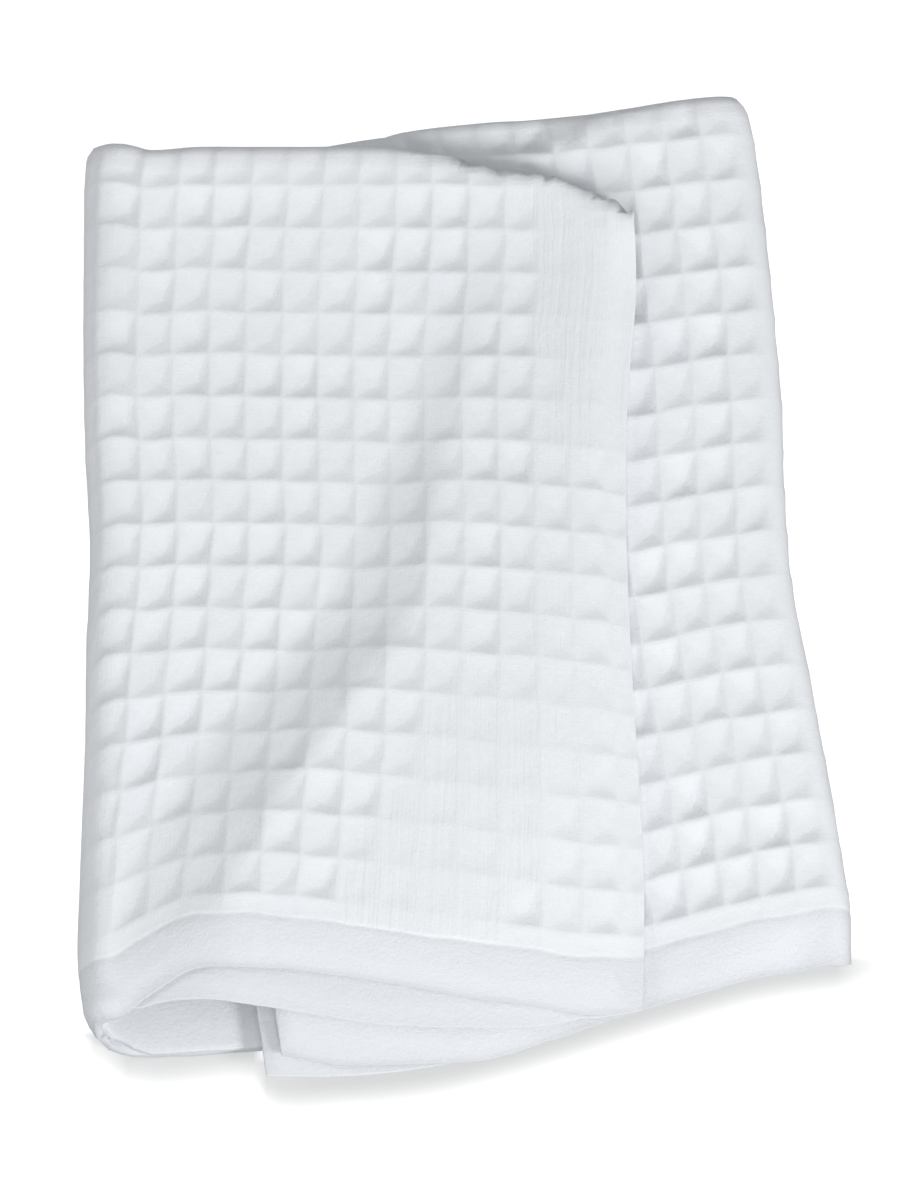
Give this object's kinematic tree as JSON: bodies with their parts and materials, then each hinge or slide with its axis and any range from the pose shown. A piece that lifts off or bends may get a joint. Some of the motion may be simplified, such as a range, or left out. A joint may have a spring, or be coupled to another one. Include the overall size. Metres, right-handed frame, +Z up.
{
  "type": "folded hand towel",
  "caption": "White waffle-weave hand towel, doubled end to end and folded in three, lying flat with its hems to the front.",
  "frame": {"origin": "middle of the folded towel's footprint, on the surface that it lies on", "axes": "+Z up, +Y from the hems towards the top fold, +X from the left fold towards the right fold"},
  "size_m": [0.2, 0.2739, 0.0271],
  "materials": {
    "white_cotton": "matt cotton in a large-cell waffle weave"
  },
  "bodies": {
    "root": {"towel": "white_cotton"}
  },
  "joints": []
}
